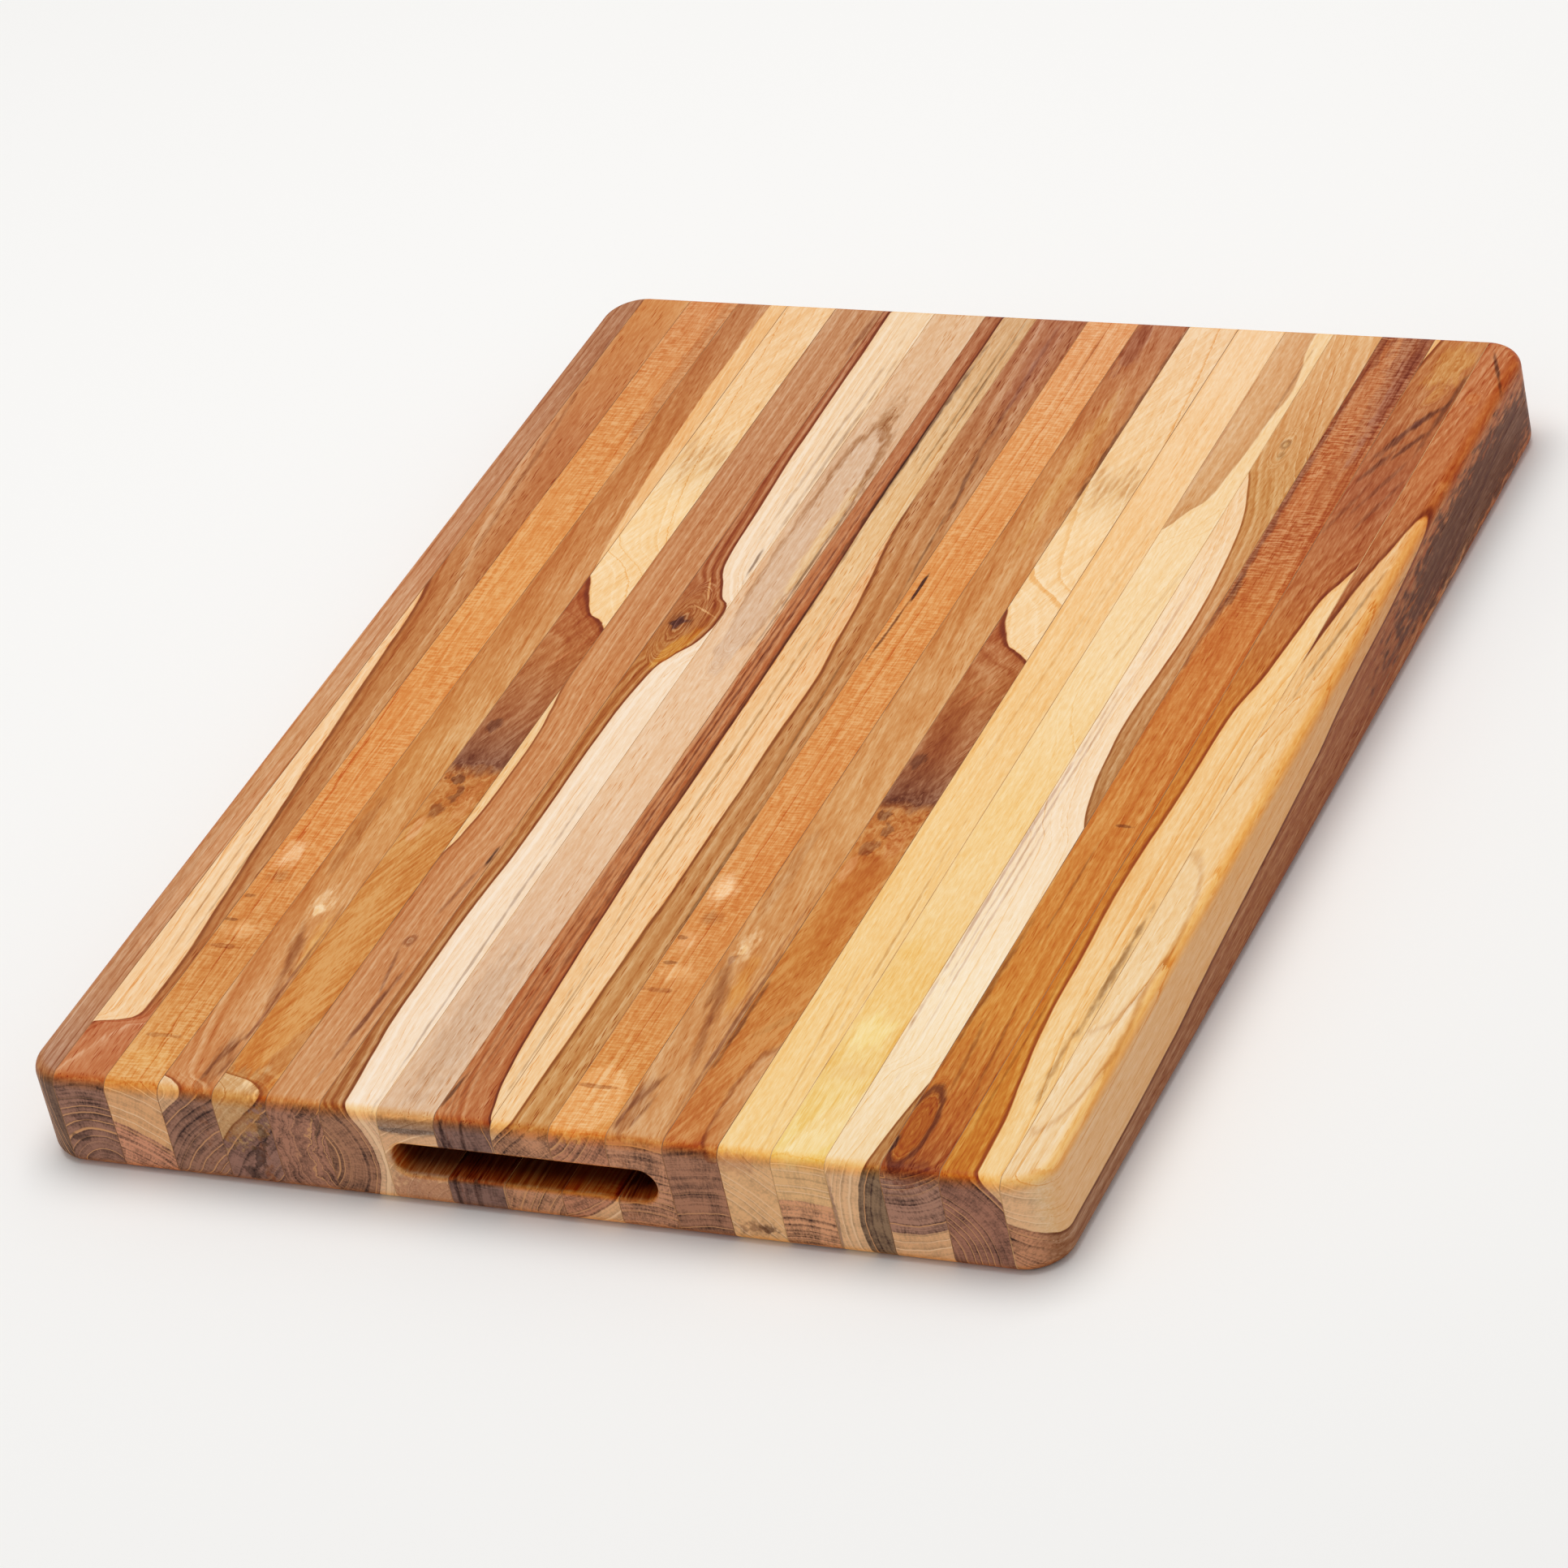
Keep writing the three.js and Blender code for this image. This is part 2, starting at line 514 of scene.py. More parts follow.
add_stave(  # 4
    heart=((-254, "cf915f"), (-60, "d49a5e"), (60, "cd8e58"), (150, "c98a55"), (254, "c2865a")),
    sap=((-254, "e8c296"),),
    edge=((-254, -123), (-248, -133), (-240, -142), (-150, -150), (254, -150)),
    pith=(30, -52),
    streak=0.4,
    figure=0.45,
    slant=-5,
    end="9e766a",
    spots=(
        Spot(-112, 178, 9.5, 132, "efc28c", 0.95, lean=-1.5, rough=0.1, soft=0.06),
        *small_knot(-123),
        *dark_fan(-119),
        Spot(-130, -105, 3, 30, "b07446", 0.35),
        mark(-115.3, -190, 50, "742e18", 0.6, 0, 0.7),
    ),
)
add_stave(  # 5
    heart=((-254, "cd8542"), (-110, "cc8846"), (-66, "bf783f"), (-60, "804e38"), (-30, "a4643e"),
           (10, "b57040"), (60, "b56a40")),
    sap=((20, "f3cc98"), (110, "f4d09c"), (136, "e8c08c"), (160, "efc692"), (254, "efc798")),
    edge=((-254, -12), (-245, -30), (-228, -66), (12, -79), (26, -92), (33, -97), (37, -103), (48, -109.5),
          (58, -113), (66, -118), (90, -137), (254, -157)),
    level=((-254, 8), (-228, 0), (254, 0)),
    pith=(-34, -78),
    ring=4.0,
    streak=0.26,
    figure=0.4,
    slant=20,
    pores=0.4,
    end="977774",
    spots=(
        *burl(-103),
        Spot(-97, -230, 4.5, 28, "b06c3c", 0.5, lean=6),
        *fringe(-112, 146),
        mark(-96, 200, 45, "d8a468", 0.5),
        Spot(-112, -254, 18, 20, "c3925e", 0.7, z=34, half_z=18),
        Spot(-98.5, -254, 1.6, 3, "3e302e", z=22, half_z=6, burl=7, rough=2.4),
        Spot(-101.5, -254, 3, 3, "3e302e", 0.65, z=13, half_z=5, burl=7, rough=2.4),
        Spot(-106, -254, 3, 3, "46342e", z=6, half_z=3, burl=7, rough=2.4),
    ),
)
add_stave(  # 6
    heart=((-254, "d09868"), (-150, "ca8c5c"), (0, "ce905e"), (140, "c48a60"), (254, "c8936a")),
    sap=((-100, "eec48e"), (0, "ecc28c")),
    edge=((-254, -97), (-120, -94), (-100, -91), (-60, -89.5), (-25, -91.5), (0, -94), (254, -99)),
    pith=(44, -20),
    streak=0.26,
    ring=3.4,
    rings=0.7,
    end="b17b6a",
    spots=(
        Spot(-84, -256, 13, 9, z=19, half_z=22, burl=11),
        Spot(-76, -254, 2, 3, "4c3830", 0.55, z=31, half_z=5, burl=4, rough=2.4),
        mark(-78, -205, 34, "7c4330", 0.75, 4, 1.0),
        mark(-81.5, -180, 16, "7c4330", 0.6, -10, 0.8),
        mark(-76.5, -130, 22, "7c4330", 0.5, 8, 0.8),
        Spot(-82, -162, 2.6, 4, "8a5036", 0.45, eye=5),
        mark(-75, 235, 22, "85452f", 0.5, 2, 1.4),
        mark(-73.9, -112, 8, "3c2018", 0.85, 0, 0.6),
    ),
)
add_stave(  # 7
    heart=((-254, "bc8454"), (-100, "c48a56"), (20, "bd7c44"), (60, "b26e44"), (150, "b97850"),
           (254, "b06e4c")),
    sap=((-254, "f5dcc0"), (60, "f2d6b6"), (254, "efcfa8")),
    edge=((-254, -64), (-225, -66), (-190, -68), (-150, -67.7), (-100, -65.7), (-30, -66), (0, -64.3),
          (15, -59.4), (30, -52.6), (42, -51.4), (52, -56), (62, -60.5), (78, -65), (110, -66.5),
          (150, -68), (254, -70)),
    pith=(-23, -22),
    ring=2.3,
    rings=1.2,
    streak=0.45,
    rim_width=1.5,
    end="b28068",
    spots=(
        Spot(-65.7, 35.6, 7, 24, "a86838", 0.25, eye=13, burl=2.5),
        Spot(-66.5, 35.6, 2.1, 4.8, "46282a", 0.95, burl=2, rough=0.8),
        Spot(-66.5, 35.6, 4.8, 2.1, "46282a", 0.95, lean=-15, rough=0.8),
        Spot(-66.5, 35.6, 6, 6.5, "7a4630", 0.4),
        mark(-60, 44, 9, "f0c088", 0.6, -58, 0.4),
        mark(-63.5, 56, 12, "eebc84", 0.6, -20, 0.35),
        Spot(-61, 20, 3.5, 16, "d8963c", lean=20),
        mark(-54, -160, 110, "7c4c34", 0.45, -0.5),
        mark(-57, 160, 80, "b08868", 0.5, 0.5, 0.7),
        mark(-53, 150, 80, "a07858", 0.5, 0, 0.6),
        mark(-53.5, 75, 14, "6c4430", 0.7, -4, 0.6),
    ),
)
add_stave(  # 8
    heart=((0, "c89a78"),),
    sap=((-254, "ddb896"), (-150, "e0b996"), (-60, "e8c29c"), (60, "e4bb94"), (140, "d6ac88"),
         (190, "deb58e"), (254, "e2ba92")),
    edge=((-254, -88), (0, -90), (80, -87), (254, -84)),
    pith=(62, -40),
    sap_side=-1,
    ring=4.5,
    rings=0.5,
    streak=0.3,
    pores=0.9,
    end="96745e",
    spots=(
        Spot(-40.5, 178, 6, 18, "b07c50", rough=2.4, soft=0.9),
        Spot(-40, 95, 9.6, 84, "b07c54", 0.65, eye=7, rough=0.5, soft=0.15),
        Spot(-40.3, 140, 9.2, 40, "aa744a", 0.75, rough=0.7, soft=0.25),
        Spot(-40.3, 84, 7.6, 82, "dcb898", 0.95, rough=0.4, soft=0.25),
        Spot(-40.6, 134, 7.0, 36, "dab594", 0.95, rough=0.7, soft=0.3),
        mark(-34, 90, 50, "ecc48c", 0.6, 0, 2.2),
        mark(-31.5, 75, 75, "5c3c2c", 0.55),
        Spot(-40, -200, 9, 50, "c09878", 0.4),
        Spot(-40, -254, 20, 3, "9c7c66", 0.8, z=33.5, half_z=4, rough=0.4),
        Spot(-40, -254, 16, 3, "74655c", z=32, half_z=1.3, rough=0.4),
        Spot(-40, -254, 16, 3, "b4765a", z=4, half_z=10),
    ),
)
add_stave(  # 9
    heart=((-254, "c07c4e"), (-60, "c48254"), (60, "c68458"), (254, "b47652")),
    sap=((-254, "f0c896"), (0, "edc08c"), (110, "e4ba86"), (254, "d3a678")),
    edge=((-254, -8), (-245, -10.5), (-225, -14.3), (-200, -16.4), (-175, -17.3), (-150, -18.2),
          (-100, -19), (0, -19.2), (50, -19.9), (100, -20.8), (150, -21.7), (254, -22.5)),
    pith=(-80, -25),
    ring=4.5,
    rings=0.9,
    streak=0.3,
    pores=0.9,
    rim=1.6,
    rim_width=3.2,
    end="846d6a",
    spots=(
        mark(-27.5, -20, 190, "742e18", 0.5),
        mark(-26.4, -170, 120, "7a3c20", 0.4, 0, 0.4),
        mark(-24.2, -180, 130, "7a3c20", 0.4, 0.5, 0.4),
        mark(-22.2, -190, 90, "7a3c20", 0.4, 1, 0.4),
        mark(-20.2, -40, 190, "5c3024", 0.5, 0, 0.8),
        mark(-25.3, 20, 200, "6c2a18", 0.65),
        mark(-21.6, 150, 110, "4c2018", 0.7, 0.4, 0.9),
        mark(-22.8, -60, 180, "7a3e28", 0.5, -1, 0.4),
        mark(-14, 190, 70, "8a6238"),
        mark(-11.5, 205, 60, "7a5430"),
        mark(-12, -60, 150, "a87844"),
        mark(-10, -200, 50, "96683c", 0.5, 0, 0.4),
        mark(-28.6, -238, 14, "3c2420", 0.7, 4, 0.7),
        mark(-26.8, -254, 3, "4c3430", 0.8, 0, 0.8),
        mark(-19.5, -254, 3, "5c4038", 0.8, 0, 0.7),
    ),
)
add_stave(  # 10
    heart=((-254, "cd985f"), (-60, "c68e5a"), (60, "c9905c"), (140, "c28a5d"), (254, "b87c5b")),
    sap=((-254, "f2cc9c"), (0, "eec08c"), (130, "e2ae7c")),
    edge=((-254, -1.8), (-200, -0.4), (-150, 0.4), (-100, 0), (-50, -0.3), (0, 0.1), (25, -1), (50, -2.4),
          (75, -4.5), (100, -7.1), (125, -9), (254, -16)),
    pith=(40, -50),
    pores=1.2,
    streak=0.4,
    rim_width=1.5,
    end="d79878",
    spots=(
        mark(3.5, 205, 50, "6c3830", 0.65, -2, 1.0),
        mark(6.5, 140, 35, "6c3c2c", 0.65, -6, 0.8),
        mark(10, 90, 40, "6a4028", 0.6, -4),
        mark(8, -20, 60, "7a5030", 0.5, -2),
        mark(12.2, -110, 60, "5c3820", 0.5, 0, 0.6),
        Spot(3, 215, 5, 40, "a8664c", 0.4),
    ),
)
add_stave(  # 11
    heart=((-254, "de9c57"), (-180, "d48e4f"), (-120, "d89050"), (60, "dc9554"), (170, "df9b5f"),
           (254, "e2a370")),
    sap=((0, "e8b484"),),
    edge=((-254, 50), (254, 50)),
    pith=(-57, 19),
    streak=0.16,
    curl=((0, 0.9),),
    pores=0.3,
    end="cd8c74",
    spots=(
        Spot(18.5, -118, 6, 10, "f4c490", 0.9, soft=0.8),
        Spot(21, -134, 6, 5, "b06a38", 0.65, soft=0.8),
        Spot(18, -148, 5, 7, "eeb47c", 0.55, soft=0.8),
        Spot(16.6, 68, 0.9, 11, "40180e", 0.95, rough=0.8),
        mark(15.2, 38, 28, "5c2c18", 0.75, 2),
        *torn_fibres(19),
        Spot(21, -236, 12, 19, "ecb274", 0.65, z=38, half_z=9, rough=0.6, soft=0.12),
        Spot(20, -228, 8, 1.4, "a8602e", burl=2),
        mark(23, 225, 30, "a86a44", 0.4),
    ),
)
add_stave(  # 12
    heart=((-254, "cf9560"), (-60, "d3985e"), (60, "cf9158"), (150, "cb8b54"), (254, "b97854")),
    edge=((-254, 32), (-160, 36), (254, 40)),
    pith=(10, -60),
    rings=0.6,
    figure=0.45,
    slant=-5,
    end="d99b7c",
    spots=(
        *small_knot(40),
        *dark_fan(38.5),
        Spot(38, -155, 1.4, 3, "a06848", 0.5, burl=4),
        mark(38.5, -174, 14, "9c6238", 0.45, -10, 0.9),
        Spot(38, -105, 3, 30, "b07446", 0.35),
        mark(52, -150, 60, "a05c34", 0.5, 1, 0.4),
        mark(54, -190, 55, "702c18", 0.65, 0, 0.8),
        Spot(38, 235, 5, 22, "9a5a44", 0.55),
        mark(54.3, 185, 90, "6c3a28", 0.75, 0, 1.1),
        Spot(44, 150, 4, 60, "d39a58", 0.4),
    ),
)
add_stave(  # 13
    heart=((-254, "c3783f"), (-150, "c47836"), (-108, "c87e3e"), (-66, "bf783f"), (-60, "804e38"),
           (-30, "a4643e"), (10, "b57242"), (60, "b87048")),
    sap=((20, "f3cc98"), (110, "f4d09e"), (136, "e8c08c"), (158, "efc692"), (254, "efc79a")),
    edge=((-254, 104), (12, 90), (26, 76), (33, 69), (37, 64), (48, 59), (58, 56), (66, 50), (90, 32),
          (254, 12)),
    pith=(-34, -78),
    ring=5.5,
    streak=0.26,
    figure=0.4,
    slant=20,
    pores=0.4,
    end="b48670",
    spots=(
        *burl(65),
        Spot(70, -185, 2.2, 16, "a9662f", 0.4, lean=38),
        Spot(75.5, -230, 9, 33, "8c4c2c", z=38, half_z=9, rough=0.4, soft=0.1),
        Spot(75.5, -230, 7.8, 30, "d69a62", 0.85, z=38, half_z=9, rough=0.4, soft=0.2),
        *fringe(57, 143),
        mark(55.8, -190, 30, "5c2c20", 0.7, 0, 0.9),
    ),
)
add_stave(  # 14
    heart=((0, "b98058"),),
    sap=((-254, "f2ca88"), (-60, "f2c98a"), (60, "f1c489"), (254, "f2ca9c")),
    edge=((-254, 68), (0, 63), (254, 60)),
    level=((-254, -32), (-200, -28), (254, -24)),
    pith=(-45, -55),
    ring=3.4,
    rings=0.5,
    streak=0.2,
    pores=0.35,
    spots=(
        mark(90.5, -130, 70, "c8904c", 0.6, -1),
        mark(87, -200, 60, "cc9450", 0.5, -4, 0.4),
        mark(84, 20, 90, "dca868", 0.5, 3),
        mark(89, 80, 60, "d8a468", 0.5, 2, 0.4),
        Spot(80, -254, 12, 3, "b8795a", 0.45, z=34, half_z=6, soft=0.8),
        Spot(84, -254, 10, 3, "946448", 0.65, z=7, half_z=3.4, burl=5, rough=2.2, soft=0.8),
        Spot(88, -254, 5, 3, "5c3c2e", 0.65, z=7, half_z=1.8, burl=5, rough=2.4, soft=0.7),
    ),
)
add_stave(  # 15
    heart=((-254, "a87455"), (100, "d3a06c"), (254, "dba878")),
    sap=((-254, "f2d388"), (-205, "efc87e"), (-160, "efc276"), (-110, "f2cc8e"), (-60, "f2ca88"),
         (40, "f4d3a0"), (254, "f0ca98")),
    edge=((-254, 141), (-60, 130), (60, 84), (100, 85), (112, 92), (118, 96), (128, 100), (136, 104),
          (155, 106), (190, 108.6), (210, 110.8), (225, 109.5), (238, 107), (254, 106)),
    level=((-254, -28.6), (-60, -24), (60, -6), (108, 0), (254, 0)),
    pith=(-38, -60),
    ring=3.0,
    rings=0.5,
    rim=0.15,
    streak=0.16,
    pores=0.3,
    end="fab789",
    spots=(
        mark(109.5, 215, 40, "a8744c", 0.6, 1),
        mark(95, 180, 60, "bd8560", 0.5, 0, 0.8),
        mark(109, 60, 55, "dcae74", 0.5, 6, 0.6),
        Spot(104, -207, 10, 6, "e8b870", 0.45, lean=-20, soft=0.8),
        Spot(103, -187, 8, 13, "f6dc94", 0.65, soft=0.6),
        Spot(108, -236, 8, 26, "f8dfae", 0.5, z=38, half_z=8, lean=22, rough=0.6, soft=0.4),
        Spot(98, -142, 7, 9, "eebc66", 0.5, lean=40, soft=0.6),
    ),
)
add_stave(  # 16
    heart=((-254, "c08c58"), (-40, "c08c5a"), (60, "cb905e"), (140, "cf9a60"), (200, "dba874"),
           (254, "e4b684")),
    sap=((-254, "f2d4a6"), (-160, "f8e2c0"), (-60, "f5dab8"), (60, "f4d3aa"), (160, "efc89a")),
    edge=((-254, 127), (-228, 129.3), (-205, 133), (-190, 140), (-80, 138), (-64, 132.8), (-50, 129.6),
          (-25, 126.3), (0, 124.7), (25, 125.6), (50, 126.6), (75, 126.3), (100, 124.7), (125, 121.9),
          (140, 118.2), (150, 115.3), (160, 112), (254, 96)),
    pith=(48, -22),
    ring=2.4,
    streak=0.3,
    rim=0.6,
    rim_width=1.5,
    end="897462",
    spots=(
        Spot(121.4, 174.6, 2.6, 4.4, "94643a", 0.7, rough=0.9, soft=0.6),
        Spot(121.4, 174.6, 1.3, 2.4, "d8a870", 0.7, rough=0.9, soft=0.6),
        Spot(122.2, 167, 1.8, 3.8, "a0703f", 0.5, rough=0.9, soft=0.7),
        Spot(121.6, 172, 4.5, 13, eye=6),
        mark(115, -90, 130, "b07a60", 0.55, 0, 0.6),
        mark(117.5, -60, 120, "b88a70", 0.5, -0.5, 0.45),
        mark(120.5, -120, 90, "c09070", 0.5, 0, 0.45),
        mark(118.5, 60, 60, "c89a7c", 0.4, 1),
        Spot(113.5, -254, 1.2, 3, "7c5a54", z=14, half_z=20, rough=0.6),
    ),
)
add_stave(  # 17
    heart=((-254, "a45c30"), (-228, "b8682e"), (-170, "cf863a"), (-60, "cf8540"), (60, "cc8044"),
           (110, "c07444"), (160, "b86c3f"), (254, "a46444")),
    edge=((-254, 141), (254, 146)),
    pith=(-4, 40),
    level=((-254, -25.5), (-244, -34), (-200, -44), (254, -56)),
    sap=((-254, "e0b080"),),
    ring=3.0,
    rings=0.5,
    streak=0.22,
    curl=((-254, 0.0), (40, 0.2), (110, 1.7), (254, 1.7)),
    rim=0.6,
    end="be9480",
    spots=(
        Spot(139.5, 190, 5, 75, "cc8250"),
        Spot(149.5, 210, 4, 60, "8a4c3c", 0.55, soft=0.8),
        mark(133.9, 120, 130, "6c3830", 0.6, 0, 1.3),
        Spot(135.2, 78, 1.8, 14, "6c3a2a", 0.55),
        mark(134, -160, 50, "7a4020", 0.6, 0, 1.2),
        Spot(138, -231, 6.6, 23, "5c2814", 0.75, z=38, half_z=9, eye=9, rough=0.3, soft=0.15),
        Spot(137.8, -231, 5.2, 19, "b8682a", 0.85, z=38, half_z=9, rough=0.4, soft=0.2),
        Spot(133.6, -240, 1.8, 8, "3a1a12", 0.85, z=38, half_z=12),
        Spot(143, -252, 9, 6, "7c3c24", 0.5, z=38, half_z=9),
        mark(141, -195, 30, "8a481c", 0.55, -4, 0.6),
        mark(149, -190, 35, "8a481c", 0.5, -4, 0.6),
        Spot(147, -63, 4, 1.2, "7a3c18", 0.65, burl=2),
        mark(141, -100, 38, "8a481c", 0.55, 0, 0.45),
    ),
)
add_stave(  # 18
    heart=((-254, "c87e30"), (-180, "cf8636"), (0, "cb8038"), (80, "b97040"), (150, "af6844"),
           (210, "b87244"), (254, "c88854")),
    sap=((-254, "f2cc90"), (-100, "eec082"), (50, "f1c68a"), (110, "edbf88")),
    edge=((-254, 165.6), (-225, 165.1), (-200, 162.6), (-175, 159.8), (-150, 158.8), (-50, 159.6),
          (0, 160.4), (25, 164), (50, 166.5), (75, 169.1), (90, 172.8), (100, 175.6), (115, 181),
          (254, 205)),
    pith=(-24, -34),
    ring=2.6,
    rings=0.9,
    rim=0.8,
    rim_width=1.2,
    end="a87a70",
    spots=(
        Spot(166, 232, 8, 18, "d09450", 0.55, burl=4),
        mark(168, 196, 20, "5c3028", 0.7, 26, 1.3),
        mark(163, 184, 22, "5c3028", 0.7, 20, 1.5),
        mark(168, 178, 15, "60342a", 0.7, 22, 1.1),
        mark(160.5, 165, 17, "64382c", 0.6, 20, 1.2),
        mark(166, 150, 24, "7a4430", 0.55, 16, 0.9),
        mark(170, 140, 24, "7a4430", 0.5, 14, 0.8),
        mark(158, 135, 22, "84492f", 0.5, 12, 0.9),
        Spot(167, 212, 3.6, 9, "cc8c50", eye=4, lean=20, soft=0.7),
        mark(173.5, 205, 40, "5c3028", 0.6, 2, 1.0),
        Spot(172.8, -140, 1.8, 44, "8e5c32", 0.7, rough=1.8, soft=0.85),
        Spot(171.6, -195, 1.5, 26, "b07c46", lean=-2, rough=1.8, soft=0.85),
        mark(156.2, -190, 60, "9a5a20", 0.5),
    ),
)
add_stave(  # 19
    heart=((-254, "a87858"), (-60, "a8683e"), (60, "a8643c"), (160, "c47c4c"), (254, "c2784c")),
    sap=((-254, "efcfa2"), (-60, "f0c890"), (60, "e9b97e"), (150, "e8b47c")),
    edge=((-254, 185), (254, 185)),
    level=((-254, -22), (-174, -20), (-115, -17), (-74, -14.5), (0, -10.5), (35, -6.5), (83, -3.5),
           (110, -1), (140, 2.6), (200, 12), (254, 20)),
    pith=(-37, -48),
    ring=2.6,
    rings=1.3,
    rim_width=1.2,
    streak=0.3,
    end="e3a078",
    spots=(
        # a dark patch low on the far part of the +X side: dark spots in the wood, with painted shade over
        # them
        Spot(190.5, 180, 3, 110, "402420", 0.75, z=17, half_z=17),
        Spot(176, -178, 13, 51, "d09c66", z=38, half_z=14, rough=0.15, soft=0.12),
        Spot(176, -178, 11.4, 48, "f2d2a4", 0.9, z=38, half_z=13, rough=0.15, soft=0.1),
        Spot(176, -125, 12.5, 51, "d09c66", z=38, half_z=14, rough=0.15, soft=0.12),
        Spot(176, -125, 10.8, 48, "f1cf9e", 0.9, z=38, half_z=13, rough=0.15, soft=0.1),
        Spot(190.5, 120, 2, 70, "7a4a36", 0.5, z=12, half_z=3),
        mark(184, 232, 16, "4c2820", 0.75, -22, 0.7),
        Spot(181, 212, 3, 5, "d88c50", 0.3, eye=3),
        mark(183, 60, 50, "7a5030", 0.5, 5, 0.7),
    ),
)

# How fine each noise is: cycles per millimetre across X, along Y and through Z.
DRIFT = (0.03, 0.006, 0.03)
WAVER = (0.16, 0.02, 0.16)
SWIRL = (0.16, 0.11, 0.16)
FIBRES = (0.95, 0.028, 0.95)
DASHES = (1.3, 0.22, 1.3)
CLOUDS = (0.05, 0.011, 0.05)
PORE_CELLS = (1.5, 0.11, 1.5)
PORE_CROWDS = (0.4, 0.012, 0.4)
RIPPLES = (0.26, 1.1, 0.26)
RIPPLE_SWELL = (0.07, 0.03, 0.07)
FLAMES = (0.3, 0.03, 0.3)
END_PATCHES = (0.14, 0.05, 0.14)
END_RAYS = (1.3, 0.28, 1.0)  # round the rings, and across them
RAGGED_EDGE = (0.5, 0.12, 0.5)

MIDDLE = (0.5, 0.5, 0.5)  # the mean of a noise colour
DRIFT_MM = 3.0  # how far the slow drift moves the grain
WAVER_MM = 1.1  # and the fine wavering
PALEST = 0.74  # the least dense that any fibre's pigment gets
THROUGH_AND_THROUGH = 1e6  # the half height of a spot that goes right through the wood
RING_LINE_MM = 0.6  # width on end grain of the pale start of a ring
BUMP_MM = 0.1
END_SHADE = pigment("46322e")
RIM = pigment("5c3426")
HEART_RING = pigment("dba070")
SAP_RING = pigment("fbd0a4")
SAP_END = pigment("f6bc8a")
SAP_SIDE_SHADE = (0.97, 0.78, 0.64, 1.0)  # multiplies the colour of sapwood on the long sides: painted shade, darker and browner than on the work surface
ARRIS = (1.08, 0.9, 0.55, 1.0)  # multiplies the colour of a round-over, which takes up more oil
GRIP_MOUTH = (1.0, 0.6, 0.28, 1.0)  # multiplies the colour of the routed walls near the mouth: richer, oil-darkened wood
GRIP_DEEP_SHADE = (0.22, 0.11, 0.07, 1.0)  # and near the bottom: painted shade, nearly black
